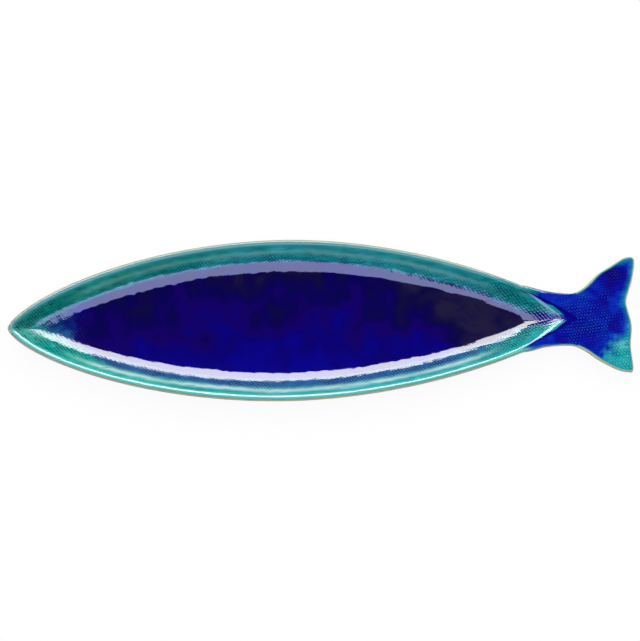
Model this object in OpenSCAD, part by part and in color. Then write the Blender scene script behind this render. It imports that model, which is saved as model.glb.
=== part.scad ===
// A long, narrow, fish shaped serving dish in glazed stoneware.
// The nose points along -X, the tail fin along +X, and the foot ring stands on z = 0.
// All lengths are in millimetres.

/* [Outline] */
// Length from the nose to the tips of the tail fin
overall_l = 428.2; // [385:0.1:480]
// Width across the belly, from lip to lip
body_w = 112; // [98:1:130]
// Distance from the nose to the belly, the widest place
belly_from_nose = 188.4; // [165:0.1:215]
// Sideways bend of nose and tail off a straight line through the belly
bow = 3; // [0:0.1:6]

/* [Rim] */
// Distance from the crest of the rim to the outline
lip_w = 2.8; // [2.7:0.1:5]
// Radius of the rounded outer edge, half the thickness of the rim
lip_r = 2.25; // [1.7:0.05:2.6]
// Fall of the crest from the belly to the pointed tail end of the well
crest_dip = 2; // [0:0.1:4]

/* [Well] */
// Depth of the well below the crest
well_depth = 15.2; // [11:0.1:20]
// Distance from the crest over which the wall makes most of its fall
wall_run = 12.2; // [9:0.1:14]
// Thickness of the wall between rim and foot
wall_t = 5.5; // [4.8:0.1:7]
// Inward distance over which the rim thickens to the wall
thicken_run = 8; // [6:0.1:12]
// Thickness of the floor with its glaze
floor_t = 5.3; // [5:0.1:8]

/* [Tail] */
// Length of the fin beyond the pointed end of the well
fin_l = 41.3; // [35:0.1:48]
// Length of the tail root beside the pointed end of the well
neck_l = 38.7; // [32:0.1:46]
// Width of the tail root at its narrowest
neck_w = 36.8; // [31:0.1:42]
// Reach of the upper fin lobe from the middle line
fin_up = 44.2; // [37:0.1:52]
// Reach of the lower fin lobe from the middle line
fin_down = 36.3; // [30:0.1:44]
// Fall of the fin below the crest of the rim
tail_drop = 2.5; // [0:0.1:4]
// Distance over which the fin falls away from the crest
drop_run = 12; // [9:0.1:16]

/* [Foot] */
// Height of the foot ring
foot_h = 3.5; // [2.5:0.1:6]
// Width of the foot ring at its sides
foot_ring_w = 5; // [4:0.1:7]
// Width of the foot ring at its two pointed ends
foot_end_w = 9; // [7:0.1:12]
// Distance from the crest to the foot ring at the belly
foot_side_inset = 31.8; // [26:0.1:36]
// Distance from the crest to the foot ring at the nose
foot_nose_inset = 59.3; // [48:0.1:72]
// Distance from the crest to the foot ring at the tail end
foot_tail_inset = 64.4; // [52:0.1:78]

/* [Glaze] */
// Thickness of the glaze coats
glaze_t = 0.5; // [0.4:0.05:0.8]
// Thickness of a coat where it thins out at the lip and at the foot
glaze_edge_t = 0.2; // [0.15:0.05:0.3]
// Thickness of the glaze that has run together on the floor
pool_t = 0.9; // [0.7:0.05:1.5]
// Distance over which the pooled glaze thickens inward
pool_run = 12; // [9:0.1:16]
// Distance from the crest to the pooled glaze at the belly
pool_side_inset = 17; // [14:0.1:21]
// Distance from the crest to the pooled glaze at the nose
pool_nose_inset = 45; // [37:0.1:54]
// Distance from the crest to the pooled glaze at the tail end
pool_tail_inset = 6; // [4:0.1:10]

/* [Hidden] */

// Places along X
nose_x = -overall_l / 2;
belly_x = nose_x + belly_from_nose;
well_end_x = overall_l / 2 - fin_l;
root_x = well_end_x - neck_l;
tail_l = neck_l + fin_l;

// The crest of the rim is a lens, pointed at both ends, and the pool and the foot are smaller lenses.
// Its half width falls with the distance from the belly as (1 - share^bulge)^point.
crest_h = foot_h + floor_t + well_depth;
crest_half = body_w / 2 - lip_w;
nose_run = belly_from_nose - lip_w;
tail_run = well_end_x - belly_x;
nose_bulge = 1.95;
nose_point = 0.73;
tail_bulge = 1.9;
tail_point = 0.86;
foot_point = 0.6;

// The wall of the well starts level at the crest and runs out level on the floor
wall_power = 1.28;
floor_power = 1.5;
// Its floor is round where the lens is wide and nearly V shaped towards the two narrow ends
end_power = 1.1;
narrow_share = 0.15;
wide_share = 0.714;
// The crest and the wall get softer over the last share of the way to the pointed tail end
soft_share = 0.78;
soft_run = 22;
soft_power = 2;

// Tail outline, as shares of the tail's length and of the spread between two widths
neck_shares = [[0.086, 0.8], [0.212, 0.27], [0.354, 0]];
low_fin_shares = [[0.466, 0.028], [0.566, 0.246], [0.666, 0.564], [0.815, 0.911], [0.918, 1],
                  [0.94, 0.95], [0.948, 0.749], [0.935, -0.022], [0.95, -0.832]];
high_fin_shares = [[0.475, 0.004], [0.578, 0.194], [0.68, 0.512], [0.815, 0.783], [0.904, 0.961],
                   [0.971, 1], [1, 0.876], [0.971, 0.364], [0.931, -0.012], [0.915, -0.283]];

// Stations from the nose to the belly, and from there to the tail root
nose_n = 16;
side_n = 11;
root_n = nose_n + side_n;
// Stations between two neighbouring points of the tail outline
knot_n = 2;
tail_n = knot_n * (len(neck_shares) + len(high_fin_shares));
half_n = root_n + tail_n;
loop_n = 2 * half_n;
// Share of the tail stations that are spread evenly over the pointed end of the well
even_share = 0.35;

// Rows from the outline to the crest: turn of the rounded edge, share of the way left, share of the coat
rim_shares = [[0, 1, 0], [22.5, 1, 0], [45, 1, 0], [67.5, 1, 0.5], [90, 1, 1], [90, 0.55, 1],
              [90, 0.25, 1], [90, 0, 1]];
rim_n = len(rim_shares);
// Rows at the outer edge that stay bare clay
bare_n = 2;
// Rows from the crest to the pool
wall_shares = [0.12, 0.28, 0.46, 0.66, 0.84, 1];
// Rows under the wall, from the crest to the foot, and the share of the coat on each
under_shares = [[0.06, 1], [0.15, 1], [0.3, 1], [0.5, 1], [0.75, 1], [1, 0]];
// Share of the way to the foot at which the wall begins to level out
level_share = 0.5;
// Places across the pool, from one side to the other
pool_shares = [-1, -0.85, -0.66, -0.44, -0.2, 0, 0.2, 0.44, 0.66, 0.85, 1];
pool_n = len(pool_shares) - 1;

function smooth(t) = let (u = min(max(t, 0), 1)) u * u * (3 - 2 * u);
function mix(a, b, t) = a + (b - a) * t;
function bowed(p) = [p[0], p[1] - bow * pow((p[0] - belly_x) / (overall_l / 2), 2), p[2]];

// Station and side of a column of the closed loops, which run nose, lower side, notch, upper side
function station(i) = i <= half_n ? i : loop_n - i;
function side(i) = i <= half_n ? -1 : 1;

// Turn of a lens at a station: 0 at the belly, 90 at a pointed end
root_turn = asin(pow((root_x - belly_x) / tail_run, tail_bulge / 2));
function left_share(k) = let (r = (half_n - k) / tail_n) even_share * r + (1 - even_share) * pow(r, 3);
function turn(k) =
    k <= nose_n ? 90 * (1 - k / nose_n)
    : k <= root_n ? root_turn * (k - nose_n) / side_n
    : acos(cos(root_turn) * pow(left_share(k), 1 / (2 * tail_point)));

// A point of a lens loop with its own half width, its own two lengths and its own points
function lens(i, half, to_nose, to_tail, nose_p, tail_p) =
    let (k = station(i), t = turn(k))
    k <= nose_n
    ? [belly_x - to_nose * pow(sin(t), 2 / nose_bulge), side(i) * half * pow(cos(t), 2 * nose_p)]
    : [belly_x + to_tail * pow(sin(t), 2 / tail_bulge), side(i) * half * pow(cos(t), 2 * tail_p)];

function inset_lens(side_inset, nose_inset, tail_inset, nose_p, tail_p) =
    [for (i = [0:loop_n - 1]) lens(i, crest_half - side_inset, nose_run - nose_inset,
                                   tail_run - tail_inset, nose_p, tail_p)];

crest_loop = inset_lens(0, 0, 0, nose_point, tail_point);
pool_loop = inset_lens(pool_side_inset, pool_nose_inset, pool_tail_inset, nose_point, tail_point);
foot_loop = inset_lens(foot_side_inset, foot_nose_inset, foot_tail_inset, foot_point, foot_point);
foot_hole = inset_lens(foot_side_inset + foot_ring_w, foot_nose_inset + foot_end_w,
                       foot_tail_inset + foot_end_w, foot_point, foot_point);

// How far the crest turns towards the nose or the tail, as the sine and cosine of its outward direction
function crest_turn(k) =
    let (t = turn(k), nose = k <= nose_n,
         run = nose ? nose_run : tail_run,
         bulge = nose ? nose_bulge : tail_bulge,
         point = nose ? nose_point : tail_point)
    lens_turn(t, run, bulge, point);
function lens_turn(t, run, bulge, point) =
    let (rise = crest_half / run * bulge * point * pow(sin(t), 2 - 2 / bulge),
         level = pow(cos(t), 2 - 2 * point))
    [rise, level] / norm([rise, level]);
function beside_crest(i) =
    let (k = station(i), n = crest_turn(k))
    crest_loop[i] + lip_w * [k <= nose_n ? -n[0] : n[0], side(i) * n[1]];

// The tail outline is a smooth curve through its knots, from the lower root round to the upper root
root_half = beside_crest(loop_n - root_n)[1];
neck_half = neck_w / 2;
function tail_points(shares, low, high, way) =
    [for (s = shares) [root_x + tail_l * s[0], way * mix(low, high, s[1])]];
function backward(list) = [for (i = [len(list) - 1:-1:0]) list[i]];
tail_knots = concat([beside_crest(root_n)],
                    tail_points(neck_shares, neck_half, root_half, -1),
                    tail_points(low_fin_shares, neck_half, fin_down, -1),
                    backward(tail_points(high_fin_shares, neck_half, fin_up, 1)),
                    backward(tail_points(neck_shares, neck_half, root_half, 1)),
                    [beside_crest(loop_n - root_n)]);
function knot(i) = tail_knots[min(max(i, 0), len(tail_knots) - 1)];
function tail_curve(u) =
    let (i = min(floor(u), len(tail_knots) - 2), t = u - i,
         a = knot(i - 1), b = knot(i), c = knot(i + 1), d = knot(i + 2))
    (2 * b + (c - a) * t + (2 * a - 5 * b + 4 * c - d) * pow(t, 2) + (3 * (b - c) + d - a) * pow(t, 3)) / 2;
edge_loop = [for (i = [0:loop_n - 1])
             station(i) <= root_n ? beside_crest(i) : tail_curve((i - root_n) / knot_n)];
edge_gap = [for (i = [0:loop_n - 1]) norm(edge_loop[i] - crest_loop[i])];

// Height of the crest, and the shape of the well inside it
function crest_z(x) = crest_h - crest_dip * smooth((x - belly_x) / tail_run);
function inward(p) =
    let (nose = p[0] < belly_x,
         run = nose ? nose_run : tail_run,
         bulge = nose ? nose_bulge : tail_bulge,
         point = nose ? nose_point : tail_point,
         t = asin(min(pow(abs(p[0] - belly_x) / run, bulge / 2), 1)),
         half = max(crest_half * pow(cos(t), 2 * point), lip_w / 1000),
         across = min(abs(p[1]) / half, 1),
         power = mix(end_power, floor_power, smooth((half / crest_half - narrow_share) / (wide_share - narrow_share))))
    half * (1 - pow(across, power)) / power * lens_turn(t, run, bulge, point)[1];
function soft(x) = smooth(((x - belly_x) / tail_run - soft_share) / (1 - soft_share));
function run_at(x) = mix(wall_run, soft_run, soft(x));
function power_at(x) = mix(wall_power, soft_power, soft(x));
function fall(d, x) = well_depth * (1 - exp(-pow(d / run_at(x), power_at(x))));
function steepness(d, x) =
    let (run = run_at(x), power = power_at(x))
    well_depth * power / run * pow(d / run, power - 1) * exp(-pow(d / run, power));
function thickness(c) = mix(2 * lip_r, wall_t, smooth((c - lip_r) / thicken_run));
function coat_t(share) = mix(glaze_edge_t, glaze_t, share);

// Rim rows, above and below: the fin falls away from the crest, and the outer edge is round
function rim_way(i, row) =
    let (s = rim_shares[row])
    s[0] < 90 ? edge_gap[i] - lip_r * (1 - cos(s[0])) : (edge_gap[i] - lip_r) * s[1];
function rim_xy(i, row) = mix(crest_loop[i], edge_loop[i], rim_way(i, row) / edge_gap[i]);
function rim_z(i, row) =
    crest_z(crest_loop[i][0])
    - tail_drop * smooth(rim_way(i, row) / drop_run) * (1 - lip_w / edge_gap[i]);
function rim_round(row) = lip_r * (1 - sin(rim_shares[row][0]));
function rim_coat(row) = row < bare_n ? 0 : coat_t(rim_shares[row][2]);
function point_at(xy, z) = bowed([xy[0], xy[1], z]);
function rim_top(row, under) =
    [for (i = [0:loop_n - 1])
     point_at(rim_xy(i, row), rim_z(i, row) - rim_round(row) - under * rim_coat(row))];
function rim_low(row, under) =
    [for (i = [0:loop_n - 1])
     point_at(rim_xy(i, row), rim_z(i, row) + rim_round(row) + under * rim_coat(row)
              - thickness(edge_gap[i] - rim_way(i, row)))];

// Wall rows above, from the crest to the pool, and below, from the crest to the foot
function wall_top(share, under) =
    [for (i = [0:loop_n - 1])
     let (xy = mix(crest_loop[i], pool_loop[i], share))
     point_at(xy, crest_z(xy[0]) - fall(inward(xy), xy[0]) - under * glaze_t)];
function wall_low(share, coat, under) =
    [for (i = [0:loop_n - 1])
     let (xy = mix(crest_loop[i], foot_loop[i], share), d = inward(xy),
          t = thickness(edge_gap[i] + d) * sqrt(1 + pow(steepness(d, xy[0]), 2)),
          z = crest_z(xy[0]) - fall(d, xy[0]) - t + glaze_t,
          level = smooth((share - level_share) / (1 - level_share)))
     point_at(xy, mix(z, foot_h, level) - (1 - under) * coat_t(coat))];

// Points inside the pool, station by station, without its outer loop
function pool_inside(under) =
    [for (k = [1:half_n - 1]) for (m = [1:pool_n - 1])
     let (half = abs(pool_loop[k][1]), s = pool_shares[m],
          xy = [pool_loop[k][0], half * s],
          t = mix(glaze_t, pool_t, smooth(half * (1 - abs(s)) / pool_run)))
     point_at(xy, crest_z(xy[0]) - fall(inward(xy), xy[0]) - under * t)];

// Triangles between ring after ring of loop_n points, for the columns from one to another
function ring_point(ring, i) = ring * loop_n + (i + loop_n) % loop_n;
function strip(first, last, from, to) =
    [for (j = [first:last - 1]) for (i = [from:to - 1])
     let (a = ring_point(j, i), b = ring_point(j, i + 1),
          c = ring_point(j + 1, i + 1), d = ring_point(j + 1, i))
     each [[a, b, c], [a, c, d]]];
// Edges of such a strip, each with the strip on its left
function inner_rim(ring, from, to) = [for (i = [from:to - 1]) [ring_point(ring, i + 1), ring_point(ring, i)]];
function outer_rim(ring, from, to) = [for (i = [from:to - 1]) [ring_point(ring, i), ring_point(ring, i + 1)]];
function start_rim(first, last, i) = [for (j = [first:last - 1]) [ring_point(j, i), ring_point(j + 1, i)]];
function end_rim(first, last, i) = [for (j = [first:last - 1]) [ring_point(j + 1, i), ring_point(j, i)]];

// Triangles of the pool, whose outer loop is ring 0 and whose inner points start at an index
function pool_point(k, m, start) =
    m == 0 || k == 0 || k == half_n ? k
    : m == pool_n ? loop_n - k
    : start + (k - 1) * (pool_n - 1) + m - 1;
function pool_faces(start) =
    [for (k = [0:half_n - 1]) for (m = [0:pool_n - 1])
     let (a = pool_point(k, m, start), b = pool_point(k + 1, m, start),
          c = pool_point(k + 1, m + 1, start), d = pool_point(k, m + 1, start))
     each concat(k > 0 ? [[a, d, c]] : [], k < half_n - 1 ? [[a, c, b]] : [])];

// Rings of the top from the pool outward, and of the underside from the outer edge inward
function top_rings(under, last_row) =
    concat([for (i = [len(wall_shares) - 1:-1:0]) wall_top(wall_shares[i], under)],
           [for (row = [rim_n - 1:-1:last_row]) rim_top(row, under)]);
function low_rings(under, first_row) =
    concat([for (row = [first_row:rim_n - 1]) rim_low(row, under)],
           [for (s = under_shares) wall_low(s[0], s[1], under)]);
function joined(rings) = [for (ring = rings) each ring];

// A coat of glaze: its face, the same faces turned over on the clay, and a narrow wall round its edge
module coat(face_points, clay_points, faces, rim) {
    n = len(face_points);
    turned = [for (f = faces) [f[2] + n, f[1] + n, f[0] + n]];
    walls = [for (e = rim) each [[e[0], e[1], e[1] + n], [e[0], e[1] + n, e[0] + n]]];
    polyhedron(concat(face_points, clay_points), concat(faces, turned, walls));
}

module stoneware_body() {
    rings = concat(top_rings(1, 0), low_rings(1, 1));
    last = len(rings) - 1;
    base = [for (i = [0:loop_n - 1]) ring_point(last, i)];
    color("tan")
        polyhedron(concat(joined(rings), pool_inside(1)),
                   concat(strip(0, last, 0, loop_n), [base], pool_faces(len(rings) * loop_n)));
}

// Flat outline of a foot loop
function flat(loop) = [for (p = loop) let (b = bowed([p[0], p[1], 0])) [b[0], b[1]]];

module foot_ring() {
    color("peru")
        linear_extrude(height = foot_h)
            difference() {
                polygon(flat(foot_loop));
                polygon(flat(foot_hole));
            }
}

module turquoise_glaze() {
    face_rings = top_rings(0, bare_n);
    crest_ring = len(wall_shares);
    last = len(face_rings) - 1;
    color("mediumturquoise")
        coat(joined(face_rings), joined(top_rings(1, bare_n)),
             concat(strip(0, crest_ring, 0, loop_n), strip(crest_ring, last, -root_n, root_n)),
             concat(inner_rim(0, 0, loop_n),
                    outer_rim(crest_ring, root_n, loop_n - root_n),
                    outer_rim(last, -root_n, root_n),
                    start_rim(crest_ring, last, -root_n),
                    end_rim(crest_ring, last, root_n)));
}

module pool_glaze() {
    color("navy")
        coat(concat(wall_top(1, 0), pool_inside(0)), concat(wall_top(1, 1), pool_inside(1)),
             pool_faces(loop_n), outer_rim(0, 0, loop_n));
}

module tail_glaze() {
    face_rings = [for (row = [rim_n - 1:-1:bare_n]) rim_top(row, 0)];
    clay_rings = [for (row = [rim_n - 1:-1:bare_n]) rim_top(row, 1)];
    last = len(face_rings) - 1;
    to = loop_n - root_n;
    color("royalblue")
        coat(joined(face_rings), joined(clay_rings), strip(0, last, root_n, to),
             concat(inner_rim(0, root_n, to), outer_rim(last, root_n, to),
                    start_rim(0, last, root_n), end_rim(0, last, to)));
}

module underside_glaze() {
    face_rings = low_rings(0, bare_n);
    last = len(face_rings) - 1;
    color("teal")
        coat(joined(face_rings), joined(low_rings(1, bare_n)), strip(0, last, 0, loop_n),
             concat(inner_rim(0, 0, loop_n), outer_rim(last, 0, loop_n)));
}

module base_glaze() {
    color("darkcyan")
        translate([0, 0, foot_h - glaze_t])
            linear_extrude(height = glaze_t)
                polygon(flat(foot_hole));
}

stoneware_body();
foot_ring();
turquoise_glaze();
pool_glaze();
tail_glaze();
underside_glaze();
base_glaze();
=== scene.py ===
# Looks of the fish shaped platter: glazed stoneware with a cloth print pressed into the clay.
# Shapes are worked out in millimetres from the same formulas as the part's source, and stored in metres.
# x runs from the nose at -214 to the tail fin at 214, y across the fish, and z up out of the well.
import math

import bmesh
import bpy
import numpy as np
from mathutils import Matrix


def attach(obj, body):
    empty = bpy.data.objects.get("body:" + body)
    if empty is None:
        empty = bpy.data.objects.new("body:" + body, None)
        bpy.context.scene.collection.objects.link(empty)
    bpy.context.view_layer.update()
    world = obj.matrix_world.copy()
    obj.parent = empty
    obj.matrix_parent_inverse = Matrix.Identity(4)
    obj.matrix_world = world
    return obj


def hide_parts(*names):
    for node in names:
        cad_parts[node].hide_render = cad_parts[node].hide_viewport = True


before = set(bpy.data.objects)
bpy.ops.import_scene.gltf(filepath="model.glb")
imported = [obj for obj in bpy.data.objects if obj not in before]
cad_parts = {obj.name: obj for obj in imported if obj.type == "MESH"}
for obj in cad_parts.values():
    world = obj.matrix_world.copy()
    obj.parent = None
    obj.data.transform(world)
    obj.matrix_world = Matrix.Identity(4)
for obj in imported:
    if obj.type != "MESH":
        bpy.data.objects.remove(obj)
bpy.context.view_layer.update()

# The outline: a lens, pointed at both ends, with a tail fin
dish = {
    "length": 428.2, "width": 112.0, "bellyFromNose": 188.4, "bow": 3.0,
    "lipWidth": 2.8, "lipRadius": 2.25, "crestDip": 2.0,
    "wellDepth": 15.2, "wallRun": 12.2, "wallThickness": 5.5, "thickenRun": 8.0, "floor": 5.3,
    "finLength": 41.3, "neckLength": 38.7, "neckWidth": 36.8, "finUp": 44.2, "finDown": 36.3,
    "tailDrop": 2.5, "dropRun": 12.0,
    "noseBulge": 1.95, "nosePoint": 0.73, "tailBulge": 1.9, "tailPoint": 0.86,
    "wallPower": 1.28, "floorPower": 1.5, "endPower": 1.1, "narrowShare": 0.15, "wideShare": 0.714,
    "softShare": 0.78, "softRun": 22.0, "softPower": 2.0,
    "noseStations": 16, "sideStations": 11, "evenShare": 0.35,
    "neckKnots": [[0.086, 0.8], [0.212, 0.27], [0.354, 0]],
    "lowFinKnots": [[0.466, 0.028], [0.566, 0.246], [0.666, 0.564], [0.815, 0.911], [0.918, 1],
                    [0.94, 0.95], [0.948, 0.749], [0.935, -0.022], [0.95, -0.832]],
    "highFinKnots": [[0.475, 0.004], [0.578, 0.194], [0.68, 0.512], [0.815, 0.783], [0.904, 0.961],
                     [0.971, 1], [1, 0.876], [0.971, 0.364], [0.931, -0.012], [0.915, -0.283]],
}
foot = {"height": 3.5, "ringWidth": 5.0, "endWidth": 9.0, "point": 0.6, "edge": 0.8,
        "sideInset": 31.8, "noseInset": 59.3, "tailInset": 64.4, "spacing": 2.4, "edgeRows": 5,
        "uneven": 0.001}
glaze = {"thickness": 0.5, "edgeThickness": 0.2, "poolThickness": 0.9, "poolRun": 12.0,
         "sideInset": 17.0, "noseInset": 45.0, "tailInset": 6.0}
# The cloth print: two thread directions, the room between threads, and how deep they are pressed
cloth = {"riseSlope": 0.268, "riseBend": 0.00026, "risePitch": 1.95,
         "fallSlope": 1.19, "fallPitch": 1.75, "wander": 0.7, "depth": 0.06}
# Hand work: slow swell of the face, ripples and grain, and how far in the softened crest reaches on each side
hand = {"swell": 0.13, "ripple": 0.055, "grain": 0.02, "nearJoint": 2.4, "farJoint": 0.6}

halfLength = dish["length"] / 2
bellyX = dish["bellyFromNose"] - halfLength
wellEndX = halfLength - dish["finLength"]
rootX = wellEndX - dish["neckLength"]
tailLength = dish["neckLength"] + dish["finLength"]
crestHeight = foot["height"] + dish["floor"] + dish["wellDepth"]
crestHalf = dish["width"] / 2 - dish["lipWidth"]
noseRun = dish["bellyFromNose"] - dish["lipWidth"]
tailRun = wellEndX - bellyX
noseN = dish["noseStations"]
rootN = noseN + dish["sideStations"]
tailN = 2 * (len(dish["neckKnots"]) + len(dish["highFinKnots"]))
halfN = rootN + tailN
rootTurn = math.asin(((rootX - bellyX) / tailRun) ** (dish["tailBulge"] / 2))
poolInset = np.array([glaze["sideInset"], glaze["noseInset"], glaze["tailInset"]])


def smooth(t):
    # From 0 to 1 with level ends: t^2 * (3 - 2t)
    u = np.clip(t, 0, 1)
    return u * u * (3 - 2 * u)


def fade(value, start, run):
    # 0 up to the start, and smoothly on to 1 over the run
    return smooth((value - start) / run)


def mix(a, b, t):
    return a + (b - a) * t


def waves(x, y, size, seed):
    # Slow unevenness from -1 to 1: a sum of four sine waves that run in different directions
    total = 0
    for n in range(4):
        angle = seed * 1.7 + n * 2.4
        along = x * math.cos(angle) + y * math.sin(angle)
        total = total + np.sin(along * 6.283 / (size * (0.7 + 0.23 * n)) + seed * 5.1 + n * n)
    return total / 4


def turnAt(k):
    # Turn of a lens at a station: even from the nose to the belly and on to the root, then closer and closer
    left = np.clip((halfN - k) / tailN, 0, 1)
    left = dish["evenShare"] * left + (1 - dish["evenShare"]) * left ** 3
    tail = np.arccos(math.cos(rootTurn) * left ** (1 / (2 * dish["tailPoint"])))
    side = rootTurn * (k - noseN) / dish["sideStations"]
    return np.where(k <= noseN, math.pi / 2 * (1 - k / noseN), np.where(k <= rootN, side, tail))


def lens(k, half, toNose, toTail, nosePoint, tailPoint):
    # x = belly -/+ run * sin(turn)^(2/bulge), and half width = half * cos(turn)^(2*point)
    t = turnAt(k)
    s, c = np.sin(t), np.abs(np.cos(t))
    x = np.where(k <= noseN, bellyX - toNose * s ** (2 / dish["noseBulge"]),
                 bellyX + toTail * s ** (2 / dish["tailBulge"]))
    w = half * np.where(k <= noseN, c ** (2 * nosePoint), c ** (2 * tailPoint))
    return x, np.where(c < 1e-9, 0, w)


def insetLens(k, side, inset, nosePoint=dish["nosePoint"], tailPoint=dish["tailPoint"]):
    # The crest's lens, less an inset from its half width, its nose run and its tail run
    x, w = lens(k, crestHalf - inset[0], noseRun - inset[1], tailRun - inset[2], nosePoint, tailPoint)
    return np.stack([x, side * w], -1)


def lensForm(towardsNose, inset=(0, 0, 0)):
    # Run, bulge and point of the lens on the nose side or the tail side of the belly, less an inset
    return (np.where(towardsNose, noseRun - inset[1], tailRun - inset[2]),
            np.where(towardsNose, dish["noseBulge"], dish["tailBulge"]),
            np.where(towardsNose, dish["nosePoint"], dish["tailPoint"]))


def halfAt(x, inset=(0, 0, 0)):
    # Half width of the lens at a place along the dish: half * (1 - share^bulge)^point
    run, bulge, point = lensForm(x < bellyX, inset)
    share = np.clip(np.abs(x - bellyX) / run, 0, 1)
    return (crestHalf - inset[0]) * (1 - share ** bulge) ** point


def outward(k, side):
    # Outward direction of the crest: rise and level of the lens at that turn
    t = turnAt(k)
    s, c = np.sin(t), np.abs(np.cos(t))
    nose = k <= noseN
    run, bulge, point = lensForm(nose)
    rise = crestHalf / run * bulge * point * s ** (2 - 2 / bulge)
    level = np.where(c < 1e-9, 0, c ** (2 - 2 * point))
    size = np.hypot(rise, level)
    return np.stack([np.where(nose, -rise, rise) / size, side * level / size], -1)


def crestAt(k, side):
    return insetLens(k, side, (0, 0, 0))


def besideCrest(k, side):
    # Outline of the body: the crest moved outward by the lip's width
    return crestAt(k, side) + dish["lipWidth"] * outward(k, side)


def tailKnots():
    # The outline behind the root, round the fin from the lower side to the upper side
    root = besideCrest(np.array([float(rootN)]), np.array([1.0]))[0]
    neck = dish["neckWidth"] / 2

    def stretch(name, low, high, way):
        return [[rootX + tailLength * a, way * mix(low, high, b)] for a, b in dish[name]]
    return np.array([[root[0], -root[1]]] + stretch("neckKnots", neck, root[1], -1)
                    + stretch("lowFinKnots", neck, dish["finDown"], -1)
                    + stretch("highFinKnots", neck, dish["finUp"], 1)[::-1]
                    + stretch("neckKnots", neck, root[1], 1)[::-1] + [list(root)])


knots = tailKnots()


def tailCurve(u):
    # Smooth curve through the knots, each stretch a cubic that takes its slopes from the neighbours
    i = np.clip(np.floor(u).astype(int), 0, len(knots) - 2)
    t = (u - i)[..., None]
    a, b, c, d = (knots[np.clip(i + n, 0, len(knots) - 1)] for n in (-1, 0, 1, 2))
    return (2 * b + (c - a) * t + (2 * a - 5 * b + 4 * c - d) * t ** 2 + (3 * (b - c) + d - a) * t ** 3) / 2


def edgeAt(k, side):
    # Outline: a lip's width beside the crest on the body, and the smooth tail curve behind the root
    i = np.where(side < 0, k, 2 * halfN - k)
    points = np.where((k <= rootN)[..., None], besideCrest(k, side), tailCurve((i - rootN) / 2))
    points[..., 0] = np.minimum(points[..., 0], halfLength)
    return points


def crestZ(x):
    # Height of the crest: level up to the belly, and behind it lower by the dip times a smooth step
    return crestHeight - dish["crestDip"] * fade(x, bellyX, tailRun)


def slant(x):
    # Cosine of the crest's turn in plan, from its rise and level at a place along the dish
    run, bulge, point = lensForm(x < bellyX)
    t = np.arcsin(np.clip(np.abs(x - bellyX) / run, 0, 1) ** (bulge / 2))
    rise = crestHalf / run * bulge * point * np.sin(t) ** (2 - 2 / bulge)
    level = np.cos(t) ** (2 - 2 * point)
    return level / np.hypot(rise, level)


def inward(x, y):
    # Distance from the crest into the well, flattened towards the middle
    half = np.maximum(halfAt(x), dish["lipWidth"] / 1000)
    across = np.clip(np.abs(y) / half, 0, 1)
    wide = fade(half / crestHalf, dish["narrowShare"], dish["wideShare"] - dish["narrowShare"])
    power = mix(dish["endPower"], dish["floorPower"], wide)
    return half * (1 - across ** power) / power * slant(x)


def wallForm(x):
    # Run and power of the wall's curve, both larger towards the pointed tail end
    soft = fade((x - bellyX) / tailRun, dish["softShare"], 1 - dish["softShare"])
    return mix(dish["wallRun"], dish["softRun"], soft), mix(dish["wallPower"], dish["softPower"], soft)


def fall(d, x):
    # Depth below the crest: depth * (1 - exp(-(distance / run)^power))
    run, power = wallForm(x)
    return dish["wellDepth"] * (1 - np.exp(-(d / run) ** power))


def steepness(d, x):
    # Slope of that fall: depth * power / run * share^(power - 1) * exp(-share^power)
    run, power = wallForm(x)
    share = d / run
    return dish["wellDepth"] * power / run * share ** (power - 1) * np.exp(-share ** power)


def thickness(c):
    # Clay between the faces at a distance from the outline: twice the lip's radius, smoothly up to the wall's
    return mix(2 * dish["lipRadius"], dish["wallThickness"], fade(c, dish["lipRadius"], dish["thickenRun"]))


def bend(x):
    # The fish bends to one side: bow * (distance from the belly / half the length)^2
    return dish["bow"] * ((x - bellyX) / halfLength) ** 2


def bowed(x, y, z):
    x, y, z = np.broadcast_arrays(x, y, z)
    return np.stack([x, y - bend(x), z], -1)


def unbowed(points):
    x = points[..., 0]
    return x, points[..., 1] + bend(x)


def poolLevel(x, y):
    # 0 at the crest and 1 at the pool's edge: the lens between the two, or past them, on which a point lies
    levels = np.linspace(-0.5, 2.7, 33)
    step = levels[1] - levels[0]
    found = np.full(np.shape(x), levels[-1])
    before = halfAt(x, poolInset * levels[-1])
    for q in levels[-2::-1]:
        half = halfAt(x, poolInset * q)
        part = (np.abs(y) - before) / np.maximum(half - before, 1e-9)
        inside = (np.abs(y) >= before) & (part <= 1)
        found = np.where(inside, q + step * (1 - part), found)
        before = half
    return np.where(np.abs(y) > before, levels[0], found)


def threads(x, y):
    # Place between the threads: whole numbers are the middles of the raised dots of clay
    drift = cloth["wander"] * waves(x, y, 60, 1)
    rise = y - (cloth["riseSlope"] * x - cloth["riseBend"] * x * x) + drift
    down = y + cloth["fallSlope"] * x + cloth["wander"] * waves(x, y, 80, 2)
    return (rise * math.cos(math.atan(cloth["riseSlope"])) / cloth["risePitch"],
            down * math.cos(math.atan(cloth["fallSlope"])) / cloth["fallPitch"])


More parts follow.
